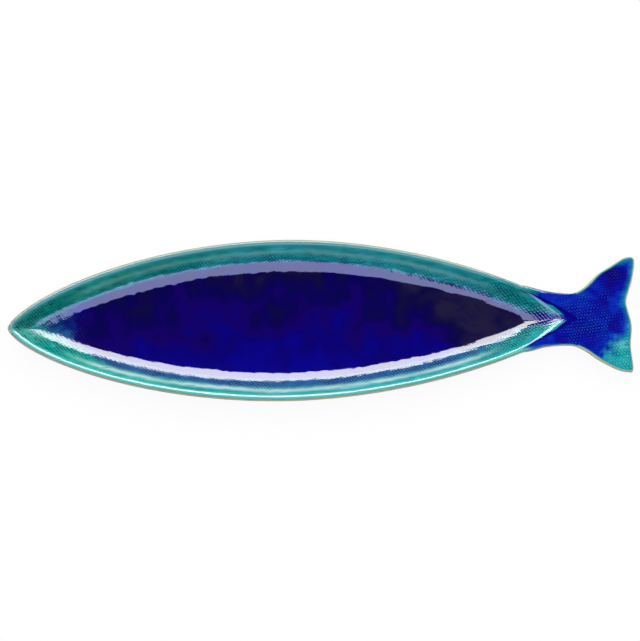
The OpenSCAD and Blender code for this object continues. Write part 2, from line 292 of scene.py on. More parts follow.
def printStrength(x, y):
    # Strong in a strip low on the wall, at the nose and at the tail root and on the fin, and faint below that
    d = inward(x, y)
    low = np.where(y < 0, 11.4, 10.2) + 0.8 * waves(x, y, 22, 3)
    above = 0.12 + 0.88 * (1 - fade(d, low, 1.4))
    strip = fade(d, 4.6, 1.8) * np.where(y < 0, 1, 0.8) * (0.75 + 0.25 * waves(x, y, 45, 3))
    nose = fade(-x, 160, 30) * fade(d, 0.8, 1.5)
    root = 0.9 * fade(x, 80, 35) * fade(d, 1.5 + 3 * fade(x, 130, 14), 2.5)
    valley = 0.9 * fade(-x, 154, 12) * fade(-np.abs(y), -12, 5)
    tailEnd = 0.8 * fade(x, 138, 12) * fade(d, 4, 1.5)
    wall = np.maximum(strip, np.maximum(nose, root)) * above * (1 - fade(d, 16, 2))
    wall = np.maximum(np.maximum(wall, valley), tailEnd)
    middle = np.exp(-((x - 178) / 24) ** 2 - ((y + 1) / 15) ** 2)
    corner = fade(x, 186 + (y + 22) * 0.5, 12) * fade(-y, 6, 12)
    patches = 0.85 * np.maximum(middle, 0.6 * corner) + 0.4 * smooth(waves(x, y, 18, 4))
    fin = fade(x, 150, 16) * (0.1 + patches)
    return np.clip(np.maximum(wall, fin * (d < 0.6)), 0, 1)


def grooves(u, v):
    # 1 on the thread lines between the raised cells, which lie at whole numbers, and 0 in the cells
    across, along = (0.5 - 0.5 * np.cos(6.2832 * u)) ** 2, (0.5 - 0.5 * np.cos(6.2832 * v)) ** 2
    return np.maximum(0.75 * across, along)


def relief(x, y):
    # How far the face lies below the plain form: the print, and the slow unevenness of hand work
    q, d = poolLevel(x, y), inward(x, y)
    worn = (1 - 0.8 * fade(-x, 150, 20)) * (1 - 0.85 * fade(x, 146, 12) * (d < 0.6))
    worn = worn * (1 + 1.6 * fade(x, 134, 12) * fade(d, 1, 2))
    pressed = cloth["depth"] * worn * printStrength(x, y) * grooves(*threads(x, y))
    calm = 1 - 0.85 * fade(q, 1.25, 0.4)
    swell = hand["swell"] * (1 + waves(x, y, 36, 5) * (0.25 + 0.75 * calm))
    ripples = hand["ripple"] * (1 + waves(x, y, 12, 6)) + hand["grain"] * (1 + waves(x, y, 6, 21))
    uneven = (swell + calm * ripples) * (1 - 0.5 * fade(x, 132, 20))
    return (pressed + uneven) * mix(fade(q, -0.06, 0.34), 1, fade(x, 112, 24))


def crestRounding(s, x, y):
    # How far the softened crest lies below the plain form at a distance s inside the crest: a parabola that
    # starts level outside the crest and joins the wall at the joint, less the wall itself
    joint = np.where(y < 0, hand["nearJoint"], hand["farJoint"])
    slope, depth = steepness(joint, x), fall(joint, x)
    start = 2 * depth / slope - joint
    rounded = slope / (2 * (start + joint)) * np.maximum(s + start, 0) ** 2
    return np.where(s < joint, np.maximum(rounded - fall(np.maximum(s, 0), x), 0), 0)


def wellZ(x, y):
    # Face of the well: height of the crest less the fall
    return crestZ(x) - fall(inward(x, y), x)


def stationsAlong(curve, start, end, spacing):
    # Stations from start to end, as far apart along the curve as the spacing
    k = np.linspace(start, end, 6001)
    ones = np.ones_like(k)
    length = sum(np.hypot(*np.diff(curve(k, side * ones), axis=0).T) for side in (-1, 1)) / 2
    length = np.concatenate([[0], np.cumsum(length)])
    return np.interp(np.linspace(0, length[-1], max(4, round(length[-1] / spacing)) + 1), length, k)


def loopOf(k):
    # Once round: nose, lower side, notch of the tail, upper side
    return np.concatenate([k, k[-2:0:-1]]), np.concatenate([-np.ones(len(k)), np.ones(len(k) - 2)])


def rimWay(gap, angle, share):
    # Distance from the crest: round the edge while the angle is below 90 degrees, then a share of the flat
    radius = dish["lipRadius"]
    return np.where(angle < 90, gap - radius * (1 - np.cos(np.radians(angle))), (gap - radius) * share)


def rimFace(k, side, angle, share, below=False):
    # Top of the rim and fin, or its underside: flat off the crest, fallen behind the root, with a round edge
    crest, edge = crestAt(k, side), edgeAt(k, side)
    gap = np.hypot(*(edge - crest).T)
    way = rimWay(gap, angle, share)
    xy = crest + (edge - crest) * (way / gap)[..., None]
    drop = dish["tailDrop"] * smooth(way / dish["dropRun"]) * (1 - dish["lipWidth"] / gap)
    rounding = dish["lipRadius"] * (1 - np.sin(np.radians(np.minimum(angle, 90))))
    z = crestZ(np.broadcast_to(crest[..., 0], way.shape)) - drop
    z = z + rounding - thickness(gap - way) if below else z - rounding
    return xy[..., 0], xy[..., 1], z


def lowWall(k, side, share):
    # Underside from the crest to the foot: the wall's thickness below the well, levelling out at the foot
    crest, inner = crestAt(k, side), footLoop(k, side)
    xy = mix(crest, inner, share)
    gap = np.hypot(*(edgeAt(k, side) - crest).T)
    d = inward(xy[..., 0], xy[..., 1])
    t = thickness(gap + d) * np.sqrt(1 + steepness(d, xy[..., 0]) ** 2)
    z = crestZ(xy[..., 0]) - fall(d, xy[..., 0]) - t + glaze["thickness"]
    return xy[..., 0], xy[..., 1], mix(z, foot["height"], fade(share, 0.5, 0.5))


def footLoop(k, side, width=0, end=0):
    # Outer edge of the foot, or a line inside it: the crest's lens with the foot's insets and point
    inset = (foot["sideInset"] + width, foot["noseInset"] + end, foot["tailInset"] + end)
    return insetLens(k, side, inset, foot["point"], foot["point"])


def rimSteps(start, edgeRows, flatRows):
    # Steps of a coat round the edge and across the flat: its angle, its share of the flat, its rise from its edge
    turns = np.linspace(0, 1, edgeRows + 1)[:-1]
    return [(start + (90 - start) * turn, 1.0, fade(turn, 0, 0.35)) for turn in turns] + [
        (90.0, share, 1.0) for share in np.linspace(1, 0, flatRows + 1)]


def coatDepth(rise):
    # Thickness of a coat that rises from its edge
    return mix(glaze["edgeThickness"], glaze["thickness"], rise)


def gridFaces(index):
    # Four-cornered faces between neighbouring rows and columns of vertex numbers
    return np.stack([index[:-1, :-1], index[:-1, 1:], index[1:, 1:], index[1:, :-1]], -1).reshape(-1, 4)


def band(a, b):
    # Faces between two rows of vertex numbers
    return gridFaces(np.stack([a, b]))


def skins(top, back):
    # Faces of a coat with a top and a back: both grids, and bands that close their first and last rows
    return [gridFaces(top), gridFaces(back)[:, ::-1], band(back[0], top[0]), band(top[-1], back[-1])]


def caps(top, back):
    # The two faces of many corners that close the ends of the rows
    return [[*top[:, 0], *back[::-1, 0]], [*back[:, -1], *top[::-1, -1]]]


def numbered(*grids):
    # The points of some grids as one list, and the vertex numbers of each grid
    numbers, total = [], 0
    for grid in grids:
        count = math.prod(grid.shape[:2])
        numbers.append(np.arange(total, total + count).reshape(grid.shape[:2]))
        total += count
    return np.concatenate([grid.reshape(-1, 3) for grid in grids]), numbers


def place(name, data):
    thing = bpy.data.objects.new(name, data)
    bpy.context.scene.collection.objects.link(thing)
    return thing


def makePiece(name, points, quads, others, material, nodes, paint):
    # One closed mesh: doubled points are merged, edges that turn sharply are split for shading
    mesh = bpy.data.meshes.new(name)
    others = [[int(i) for i in face] for face in others]
    mesh.from_pydata((points / 1000).tolist(), [], np.concatenate(quads).tolist() + others)
    work = bmesh.new()
    work.from_mesh(mesh)
    bmesh.ops.remove_doubles(work, verts=work.verts, dist=1e-6)
    bmesh.ops.delete(work, geom=[v for v in work.verts if not v.link_faces], context="VERTS")
    work.to_mesh(mesh)
    work.free()
    mesh.polygons.foreach_set("use_smooth", np.ones(len(mesh.polygons), bool))
    mesh.set_sharp_from_angle(angle=math.radians(58))
    co = np.zeros(len(mesh.vertices) * 3)
    mesh.vertices.foreach_get("co", co)
    x, y = unbowed(co.reshape(-1, 3) * 1000)
    corner = np.zeros(len(mesh.loops), int)
    mesh.loops.foreach_get("vertex_index", corner)
    u, v = threads(x, y)
    layer = mesh.uv_layers.new(name="threads")
    layer.data.foreach_set("uv", np.stack([u[corner], v[corner]], -1).ravel())
    for title, values in paint(x, y).items():
        attribute = mesh.attributes.new(title, "FLOAT", "POINT")
        attribute.data.foreach_set("value", values.astype(np.float32))
    mesh.materials.append(material)
    piece = place(name, mesh)
    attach(piece, "root")
    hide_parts(*nodes)
    print(f"{name}: {sum(len(p.vertices) - 2 for p in mesh.polygons)} triangles")


def edgeDistance(x, y):
    # Rough distance from the outline of the fin, from the nearest of a row of its points
    nearest = np.full(x.shape, 99.0)
    behind = x > rootX - 8
    for edgeX, edgeY in tailCurve(np.linspace(0, len(knots) - 1, 240)):
        nearest[behind] = np.minimum(nearest[behind], np.hypot(x[behind] - edgeX, y[behind] - edgeY))
    return nearest


def rimDistance(x, y):
    # Distance from the outline: across the crest's own direction, and round its point at the nose
    tipX = bellyX - noseRun
    tip = np.hypot(x - tipX, y)
    beside = (halfAt(x) - np.abs(y)) * slant(x)
    beside = np.where(beside < 0, -np.minimum(-beside, tip), beside)
    beside = np.where(x < tipX, -tip, beside)
    return np.where(x > rootX, edgeDistance(x, y), np.maximum(dish["lipWidth"] + beside, 0))


def blueInWell(x, y, d, side):
    # Share of cobalt inside the crest: low on each wall, in the valley at the tail end, and fading at the nose
    wander = waves(x, y, 30, 7)
    nearWall = 0.56 * smooth((d - 5.6 - 4 * fade(-x, 142, 26) + 0.6 * wander + 0.4 * waves(x, y, 9, 34)) / 3)
    nearWall = nearWall + 0.44 * fade(d, 11.5, 3)
    farWall = 0.25 * fade(d, 7 - wander, 3)
    farWall = farWall + 0.75 * smooth((d - 9.6 + 0.6 * wander + 0.4 * waves(x, y, 9, 22)) / 2)
    limit = 0.74 - (0.3 + 0.06 * (1 - side)) * fade(x, 112, 30)
    across = np.abs(y) / np.maximum(halfAt(x), 0.1)
    valley = smooth((limit - across + 0.08 * waves(x, y, 12, 23)) / 0.3)
    well = mix(mix(nearWall, farWall, side), valley, fade(x, 85, 45))
    nose = -x + 5 * waves(x, y, 11, 30) + 3 * waves(x, y, 5, 31)
    well = well * (1 - 0.16 * fade(nose, 160, 10) - 0.3 * fade(nose, 168, 14) - 0.34 * fade(nose, 182, 14))
    reach = 0.5 + 0.7 * fade(x, 136, 8) + 2 * fade(x, 158, 8)
    return np.maximum(well, fade(x, 130, 10) * (1 - fade(d, reach + 0.5 * waves(x, y, 9, 27), 1.2)))


def blueBehind(x, y, q, neck, rim):
    # Share of cobalt outside the crest: from the neck on, less along the fin's edges and in its lower corner
    fromEdge = np.where(x > rootX, rim, 99)
    behind = fade(neck, 138 + 5 * waves(x, y, 20, 8) + 2 * waves(x, y, 6, 32), 16) * fade(-q, -0.1, 0.06)
    trailing = fade(x, 196 + 3 * waves(x, y, 15, 9), 10)
    corner = fade(x, 182 + (y + 24) * 0.55 + 5 * waves(x, y, 12, 10) + 4 * waves(x, y, 5, 24), 20)
    bare = 0.75 * trailing * np.exp(-fromEdge / 3) + 0.9 * corner * fade(-y, 5, 14)
    bare = bare + 0.2 * fade(y, 38, 9) + 0.5 * np.exp(-fromEdge / 1.3)
    return behind, np.clip(1 - bare, 0, 1)


def glazePaint(x, y):
    # What the glazes' materials read: shares of cobalt, print, a pale band painted as a reflection, darkness of
    # colour that holds painted light and shade, and the side, by which the near side is painted lighter
    q, d, rim = poolLevel(x, y), inward(x, y), rimDistance(x, y)
    side = fade(y, -4, 8)
    neck = x + 10 * (1 - side)
    behind, covered = blueBehind(x, y, q, neck, rim)
    isFin = fade(x, wellEndX - 5, 8)
    blue = np.where(q > 0.02, blueInWell(x, y, d, side), 0) * (1 - isFin) + np.maximum(behind, isFin) * covered
    # A pale band along the top of the wall, strong on the near side and faint on the far side: a painted
    # reflection
    way = d - 4.9 - 0.7 * waves(x, y, 70, 18) - 0.35 * waves(x, y, 9, 19)
    pale = np.exp(-(way / 1.3) ** 2) * np.where(y < 0, 1, 0.16) * np.clip(0.9 + 0.4 * waves(x, y, 40, 20), 0, 1)
    pale = pale * fade(-x, -130, 40) * fade(x, -182, 30)
    # Darkness of the cobalt, partly the depth of the glaze and partly painted light and shade: lighter along the
    # lower side as painted light, darker below the upper side and a little before the nose as painted shade, and
    # darker towards the tail
    deep = 0.4 + 0.01 * y + 0.35 * fade(x, 70, 50) * fade(d, 9, 4) + 0.15 * waves(x, y, 60, 25)
    deep = deep + 0.12 * fade(-x, 90, 30) + 0.12 * waves(x, y, 24, 26) + 0.1 * fade(x, 95, 25)
    deep = deep + 0.5 * smooth((x - 58 + 0.8 * y + 4 * waves(x, y, 18, 33)) / 34)
    deep = deep - 0.3 * fade(-x, 156, 16) - 0.9 * fade(x, 134, 14)
    green = fade(-x, 20, 110) + (0.35 * fade(x, 100, 30) + 0.25 * waves(x, y, 34, 28)) * (x < 160)
    rim = rim * (1 + 0.8 * fade(x, 100, 32) * (x < wellEndX))
    # Less gloss on the lip, along the upper rim, at the nose, and inside the crest at the tail end
    dull = 0.2 * side * (1 - fade(x, 105, 30)) * (1 - fade(rim, 4, 1.5)) + 0.4 * (1 - fade(rim, 0.9, 0.6))
    dull = dull + mix(0.42, 0.2, side) * fade(-x, 182, 26) * fade(rim, 4, 2)
    dull = dull + 0.1 * (1 - side) * fade(x, 141, 8) * fade(d, 2.2, 1.5)
    dull = dull + 0.35 * side * fade(x, 124, 8) * fade(-x, -168, 6) * (1 - fade(rim, 2.4, 1))
    paint = {"cobalt": blue, "print": printStrength(x, y), "deep": deep, "far": side, "dull": dull,
             "green": green, "root": 1 - fade(neck, 140, 16)}
    return {title: np.clip(values, 0, 1) for title, values in paint.items()} | {"rim": rim, "pale": pale}


def plainPaint(x, y):
    return {"rim": np.zeros(x.shape)}


def linear(r, g, b):
    # Screen colour, 0 to 255, as the linear colour that a socket takes
    shares = (r / 255, g / 255, b / 255)
    return tuple(c / 12.92 if c <= 0.04045 else ((c + 0.055) / 1.055) ** 2.4 for c in shares) + (1,)


class Nodes:
    # Short way to write a node tree: each call adds a node and joins or sets its sockets
    def __init__(self, owner):
        owner.use_nodes = True
        self.tree = owner.node_tree
        self.tree.nodes.clear()

    def add(self, kind, sockets=None, **settings):
        node = self.tree.nodes.new("ShaderNode" + kind)
        for key, value in settings.items():
            setattr(node, key, value)
        for key, value in (sockets or {}).items():
            if isinstance(value, bpy.types.NodeSocket):
                self.tree.links.new(value, node.inputs[key])
            else:
                node.inputs[key].default_value = value
        return node

    def math(self, operation, a, b=0.0):
        return self.add("Math", {0: a, 1: b}, operation=operation).outputs[0]

    def times(self, a, b):
        return self.math("MULTIPLY", a, b)

    def plus(self, a, b):
        return self.math("ADD", a, b)

    def around(self, a, share):
        # A noise less its middle, times a share
        return self.times(self.math("SUBTRACT", a, 0.5), share)

    def blend(self, factor, a, b):
        return self.add("Mix", {0: factor, 6: a, 7: b}, data_type="RGBA").outputs[2]

    def noise(self, vector, scale, detail=3.0, distortion=0.0):
        return self.add("TexNoise", {"Vector": vector, "Scale": scale, "Detail": detail,
                                     "Distortion": distortion}).outputs["Fac"]

    def ramp(self, factor, stops):
        node = self.add("ValToRGB", {"Fac": factor})
        ramp = node.color_ramp
        while len(ramp.elements) < len(stops):
            ramp.elements.new(0.5)
        for element, (position, colour) in zip(ramp.elements, stops):
            element.position = position
            element.color = colour if len(colour) == 4 else linear(*colour)
        return node.outputs["Color"]

    def gray(self, factor, low, high):
        # 0 at low and 1 at high
        return self.add("MapRange", {"Value": factor, "From Min": low, "From Max": high}).outputs["Result"]

    def attribute(self, title):
        return self.add("Attribute", attribute_name=title).outputs["Fac"]

    def finish(self, look, colour, roughness, height):
        bump = self.add("Bump", {"Height": height, "Distance": look["bumpDepth"],
                                 "Strength": look["bumpStrength"]})
        shader = self.add("BsdfPrincipled", {"Base Color": colour, "Roughness": roughness,
                                             "Normal": bump.outputs[0], "IOR": look["ior"]})
        self.add("OutputMaterial", {"Surface": shader.outputs[0]})


def newMaterial(name):
    material = bpy.data.materials.new(name)
    n = Nodes(material)
    return material, n, n.add("TexCoord").outputs["Object"]


# Colours of the glazes, from thin to thick, and of the lip from the outline inwards. The near ramps are lighter
# as painted light and the far ramps darker as painted shade; the near lip's ramp holds a painted highlight line
# along the crest, and the pale band's colour is a painted reflection. lipWidth is in millimetres
glazeLook = {
    "nearTurquoise": [(0, (96, 202, 204)), (0.3, (42, 174, 180)), (0.65, (16, 158, 166)), (1, (2, 130, 141))],
    "farTurquoise": [(0, (66, 170, 180)), (0.3, (34, 151, 162)), (0.65, (8, 130, 141)), (1, (0, 101, 115))],
    "nearGreen": [(0, (84, 212, 194)), (0.3, (34, 188, 170)), (0.65, (8, 163, 150)), (1, (0, 132, 126))],
    "farGreen": [(0, (48, 158, 148)), (0.3, (14, 140, 131)), (0.65, (0, 120, 113)), (1, (0, 92, 92))],
    "cobalt": [(0, (8, 2, 134)), (0.3, (8, 0, 112)), (0.45, (20, 0, 98)), (0.6, (8, 1, 84)), (0.8, (14, 8, 64)),
               (1, (32, 27, 60))],
    "finBlue": [(0, (8, 84, 190)), (0.3, (4, 44, 180)), (0.6, (8, 12, 156)), (1, (16, 0, 112))],
    "nearLipAndHighlight": [(0, (190, 182, 148)), (0.12, (154, 164, 134)), (0.2, (66, 144, 140)), (0.34, (104, 190, 183)),
                (0.52, (120, 204, 198)), (0.85, (80, 192, 188))],
    "farLip": [(0, (190, 190, 160)), (0.12, (150, 168, 146)), (0.26, (112, 164, 154)), (0.45, (78, 148, 148)),
               (0.7, (48, 146, 152))],
    "finLip": [(0, (190, 184, 148)), (0.12, (168, 180, 150)), (0.19, (50, 150, 156)), (0.34, (12, 112, 160))],
    "litNearThin": (52, 118, 174), "shadedFarThin": (6, 64, 116), "groove": (0, 40, 80), "noseGroove": (0, 32, 56),
    "deepGroove": (8, 0, 76), "cell": (128, 214, 204), "blueCell": (84, 142, 208), "finCell": (42, 118, 224),
    "paintedReflection": (196, 228, 232), "fleck": (150, 222, 208),
    "lipWidth": 6.0, "roughness": 0.03, "bumpDepth": 0.00005, "bumpStrength": 0.5, "ior": 1.52,
}


def printLines(n, here, shakeBy):
    # The grooves between the threads, from the piece's UV map. The threads run a little out of line
    uv = n.add("UVMap", uv_map="threads").outputs["UV"]
    shake = n.add("TexNoise", {"Vector": here, "Scale": 190.0}).outputs["Color"]
    shake = n.add("VectorMath", {0: shake, 1: (shakeBy,) * 3}, operation="MULTIPLY").outputs[0]
    axis = n.add("SeparateXYZ", {"Vector": n.add("VectorMath", {0: uv, 1: shake}).outputs[0]})
    lines = []
    for socket, share in (("X", 0.6), ("Y", 1.0)):
        wave = n.math("COSINE", n.times(n.math("SUBTRACT", axis.outputs[socket], 0.35), 6.2832))
        lines.append(n.times(n.math("POWER", n.gray(wave, 1.0, -1.0), 1.4), share))
    return n.math("MAXIMUM", *lines)


def glazeMaterial(name, fin):
    # Turquoise that turns to cobalt with the "cobalt" attribute, printed with the cloth's cells and grooves
    material, n, here = newMaterial(name)
    cobalt, strength, rim, pale, deep, far, dull, green, root = map(
        n.attribute, ("cobalt", "print", "rim", "pale", "deep", "far", "dull", "green", "root"))
    long = n.add("Mapping", {"Vector": here, "Scale": (0.2, 1, 1)}).outputs[0]
    streak, patch, fine = n.noise(long, 380, 4), n.noise(here, 60, 4, 0.6), n.noise(here, 900, 3)
    groove = printLines(n, here, 1.0 if fin else 0.7)
    broken = n.gray(n.noise(here, 230, 3), 0.4, 0.56)
    seen = n.times(strength, n.plus(n.times(broken, 0.75), 0.25))

    def colour(title):
        return linear(*glazeLook[title])

    def litOrShadedSide(title):
        # The ramp of the near side or of the far side of the dish: the near one lighter as painted light, the far
        # one darker as painted shade
        return n.blend(far, n.ramp(shade, glazeLook["near" + title]), n.ramp(shade, glazeLook["far" + title]))

    # The coat itself: turquoise, greener at the nose, lighter on the near side as painted light and darker on the
    # far side as painted shade, and cobalt where it is thick
    shade = n.gray(n.plus(n.times(streak, 0.8), n.times(patch, 0.6)), 0.4, 1.0)
    turquoise = n.blend(green, litOrShadedSide("Turquoise"), litOrShadedSide("Green"))
    # On the body the cobalt's darkness follows deep, which holds painted light and painted shade as well as the
    # glaze's depth
    thick = n.plus(0.5 if fin else deep, n.around(patch, 1.9 if fin else 0.9))
    blue = n.ramp(thick, glazeLook["finBlue" if fin else "cobalt"])
    spread = n.plus(cobalt, n.around(patch, 0.4))
    share = n.gray(spread, 0.12, 0.88)
    if fin:
        body = n.blend(share, turquoise, blue)
    else:
        # Between turquoise and cobalt: lighter on the near side as painted light, darker on the far side as
        # painted shade
        thin = n.blend(far, colour("litNearThin"), colour("shadedFarThin"))
        body = n.blend(n.gray(spread, 0.42, 0.9), n.blend(n.gray(spread, 0.12, 0.5), turquoise, thin), blue)

    # The print: dark grooves, and light cells where the glaze is thin over the raised clay
    dark = n.blend(n.gray(green, 0.6, 1.0), colour("groove"), colour("noseGroove"))
    dark = n.blend(share, dark, colour("deepGroove"))
    body = n.blend(n.times(n.times(groove, seen), 0.7 if fin else 0.95), body, dark)
    amount = seen
    if not fin:
        amount = n.times(n.math("POWER", seen, 1.4), n.gray(far, 1.6, 0.0))
        amount = n.times(amount, n.gray(cobalt, 1.1, 0.75))
    light = n.times(n.gray(groove, 0.3, 0.0), n.times(amount, 0.6 if fin else 0.55))
    cell = n.blend(share, colour("cell"), colour("finCell" if fin else "blueCell"))
    body = n.blend(n.times(light, n.gray(green, 1.5, 0.0)), body, cell)
    # The pale band: a painted reflection over the top of the wall
    body = n.blend(n.times(pale, n.gray(streak, 0.2, 0.42)), body, colour("paintedReflection"))
    if fin:
        fleck = n.gray(n.noise(here, 420, 2), 0.66, 0.72)
        body = n.blend(n.times(fleck, n.gray(cobalt, 0.35, 0.0)), body, colour("fleck"))

    # The lip, over a few millimetres from the outline, narrow on the fin. On the near side its ramp also holds a
    # painted highlight line along the crest
    across = n.math("DIVIDE", n.plus(rim, n.around(streak, 0.8)), glazeLook["lipWidth"])
    lip = n.blend(far, n.ramp(across, glazeLook["nearLipAndHighlight"]), n.ramp(across, glazeLook["farLip"]))
    broad = n.blend(n.gray(across, 0.95, 0.4), body, lip)
    if fin:
        narrow = n.blend(n.gray(across, 0.34, 0.19), body, n.ramp(across, glazeLook["finLip"]))
        body = n.blend(root, narrow, broad)
    else:
        body = broad

    height = n.math("SUBTRACT", n.times(fine, 0.12), n.times(groove, seen))
    n.finish(glazeLook, body, n.plus(n.plus(n.times(patch, 0.03), glazeLook["roughness"]), dull), height)
    return material


clayLook = {"colours": [(0, (150, 132, 104)), (0.5, (190, 176, 146)), (1, (214, 206, 184))],
            "rust": (112, 78, 48), "bumpDepth": 0.00025, "bumpStrength": 0.6, "roughness": 0.72, "ior": 1.5}


def clayMaterial(name):
    # Dry buff stoneware with specks, sand and a few rust spots
    material, n, here = newMaterial(name)
    patch, sand = n.noise(here, 90, 4), n.noise(here, 1400, 2)
    body = n.ramp(n.plus(n.times(patch, 0.6), n.times(sand, 0.4)), clayLook["colours"])
    spots = n.add("TexVoronoi", {"Vector": here, "Scale": 520.0}).outputs["Distance"]
    body = n.blend(n.times(n.gray(spots, 0.22, 0.1), 0.6), body, linear(*clayLook["rust"]))
    n.finish(clayLook, body, n.plus(n.times(sand, 0.2), clayLook["roughness"]), sand)
    return material


underLook = {"colours": [(0, (30, 120, 128)), (0.45, (16, 104, 112)), (0.75, (14, 74, 116)),
                         (1, (20, 40, 110))],
             "pale": (150, 184, 166), "bumpDepth": 0.0002, "bumpStrength": 0.4, "roughness": 0.16, "ior": 1.52}


def underMaterial(name):
    # The thinner coat underneath: teal that breaks to blue in soft runs, pale where it thins at the lip
    material, n, here = newMaterial(name)
    long = n.add("Mapping", {"Vector": here, "Scale": (0.3, 1, 1)}).outputs[0]
    run, patch, fine = n.noise(long, 110, 4, 0.5), n.noise(here, 34, 3), n.noise(here, 900, 3)
    body = n.ramp(n.gray(n.plus(run, n.times(patch, 0.6)), 0.5, 1.1), underLook["colours"])
    thin = n.times(n.gray(n.plus(n.attribute("rim"), n.times(run, 1.5)), 3.4, 1.0), 0.8)
    body = n.blend(thin, body, linear(*underLook["pale"]))
    roughness = n.plus(n.times(patch, 0.12), underLook["roughness"])
    n.finish(underLook, body, roughness, n.plus(n.times(fine, 0.4), run))
    return material


bareClay = clayMaterial("bareClay")
turquoiseGlaze = glazeMaterial("turquoiseGlaze", False)
cobaltGlaze = glazeMaterial("cobaltGlaze", False)
finGlaze = glazeMaterial("finGlaze", True)
undersideGlaze = underMaterial("undersideGlaze")
print("materials are ready")


def coatEdgeAngle(x, y):
    # Where the coat ends on the rounded lip, in degrees up from the outline
    return 40 + 9 * waves(x, y, 26, 11) + 4 * waves(x, y, 7, 12)


# The turquoise coat, on the rim of the body and on the wall down to the pool
coat = {"spacing": 0.5, "tailSpacing": 0.42, "wallRows": 34, "backRows": 7, "edgeRows": 7, "flatRows": 3,
        "backSteps": [0, 3, 7], "longest": 60, "steps": 480, "axisGap": 0.02}


def poolReach(k, side):
    # Along the inward direction of the crest: how far it is to the pool's edge, or to the middle line
    way = np.linspace(0, coat["longest"], coat["steps"] + 1)
    start, direction = crestAt(k, side), -outward(k, side)
    x = start[:, 0, None] + direction[:, 0, None] * way
    y = (start[:, 1, None] + direction[:, 1, None] * way) * side[:, None]
    over = y - halfAt(x, poolInset)
    at = np.clip(np.argmax(over <= 1e-9, axis=1), 1, None)
    line = np.arange(len(k))
    a, b = over[line, at - 1], over[line, at]
    reach = way[at - 1] + (way[at] - way[at - 1]) * np.clip(a / np.maximum(a - b, 1e-9), 0, 1)
    onAxis = np.abs(start[:, 1] + direction[:, 1] * reach) < coat["axisGap"]
    axisReach = np.abs(start[:, 1]) / np.maximum(np.abs(direction[:, 1]), 1e-9)
    return np.where(onAxis, np.minimum(axisReach, coat["longest"]), reach), onAxis


def turquoiseCoat():
    body = stationsAlong(crestAt, 0, rootN, coat["spacing"])
    end = stationsAlong(crestAt, rootN, halfN, coat["tailSpacing"])
    k, side = loopOf(np.concatenate([body, end[1:]]))
    count, bodyCount = len(k), len(body)
    reach, onAxis = poolReach(k, side)
    crest, direction = crestAt(k, side), -outward(k, side)

    def wall(rows, onTop):
        share = np.linspace(0, 1, rows + 1)[:, None]
        x = crest[:, 0] + direction[:, 0] * reach * share
        y = crest[:, 1] + direction[:, 1] * reach * share
        y = np.where((share == 1) & onAxis, 0, y)
        depth = relief(x, y) + crestRounding(inward(x, y), x, y) if onTop else glaze["thickness"]
        return bowed(x, y, wellZ(x, y) - depth)

    # The rim outside the crest, on the body only: the fin has a coat of its own
    columns = np.r_[count - bodyCount + 1:count, 0:bodyCount]
    rimK, rimSide = k[columns], side[columns]
    lip = besideCrest(rimK, rimSide)
    start = coatEdgeAngle(lip[:, 0], lip[:, 1])
    top, back = [], []
    for angle, share, rise in rimSteps(start, coat["edgeRows"], coat["flatRows"])[:-1]:
        x, y, z = rimFace(rimK, rimSide, angle, share)
        way = np.hypot(*(np.stack([x, y], -1) - crestAt(rimK, rimSide)).T)
        depth = relief(x, y) * rise + crestRounding(-way, x, y)
        top.append(bowed(x, y, z - glaze["edgeThickness"] * (1 - rise) - depth))
        back.append(bowed(x, y, z - coatDepth(rise)))
    points, (rimIn, wallIn, backRim, backWall) = numbered(
        np.array(top), wall(coat["wallRows"], True),
        np.array(back)[coat["backSteps"]], wall(coat["backRows"], False))
    rimIn = np.concatenate([rimIn, wallIn[:1, columns]])
    backRim = np.concatenate([backRim, backWall[:1, columns]])
    around = np.r_[0:count, 0]
    tail = np.r_[bodyCount - 1:count - bodyCount + 2]
    apart = ~(onAxis[around][:-1] & onAxis[around][1:])
    quads = [gridFaces(rimIn), gridFaces(wallIn[:, around]),
             gridFaces(backRim)[:, ::-1], gridFaces(backWall[:, around])[:, ::-1],
             band(backRim[0], rimIn[0]), band(backWall[0][tail], wallIn[0][tail]),
             band(wallIn[-1][around], backWall[-1][around])[apart]]
    makePiece("turquoiseCoat", points, quads, caps(rimIn, backRim), turquoiseGlaze,
              ["turquoise_glaze"], glazePaint)


turquoiseCoat()

# The pooled cobalt on the floor of the well
pool = {"spacing": 1.0, "endSpacing": 0.5, "endFrom": 88.0, "across": 104, "backAcross": 10,
        "nosePlaces": [0.05, 0.15, 0.35, 0.6], "tailPlaces": [0.3, 0.1], "crowding": math.pi / 2 * 0.72}


def poolCoat():
    # Lines across the pool, closer at both ends, and points closer together near its edges
    ends = (bellyX - noseRun + poolInset[1], wellEndX - poolInset[2])
    x = np.concatenate([np.arange(ends[0], pool["endFrom"], pool["spacing"]),
                        np.arange(pool["endFrom"], ends[1], pool["endSpacing"]), [ends[1]]])
    x = np.unique(np.concatenate([x, ends[0] + np.array(pool["nosePlaces"]),
                                  ends[1] - np.array(pool["tailPlaces"])]))
    half = halfAt(x, poolInset)[:, None]

    def face(across, onTop):
        s = np.sin(np.linspace(-1, 1, across + 1) * pool["crowding"]) / math.sin(pool["crowding"])
        px, py = np.broadcast_arrays(x[:, None], half * s)
        deep = mix(glaze["thickness"], glaze["poolThickness"], smooth(half * (1 - np.abs(s)) / glaze["poolRun"]))
        return bowed(px, py, wellZ(px, py) - (relief(px, py) if onTop else deep))

    points, (topIn, backIn) = numbered(face(pool["across"], True), face(pool["backAcross"], False))
    makePiece("poolCoat", points, skins(topIn.T, backIn.T), [],
              cobaltGlaze, ["pool_glaze"], glazePaint)


poolCoat()

# The coat on the fin, from the pointed end of the crest out to the lip
fin = {"spacing": 0.55, "rows": 96, "edgeRows": 6, "backRows": 8, "backEdgeRows": 2}


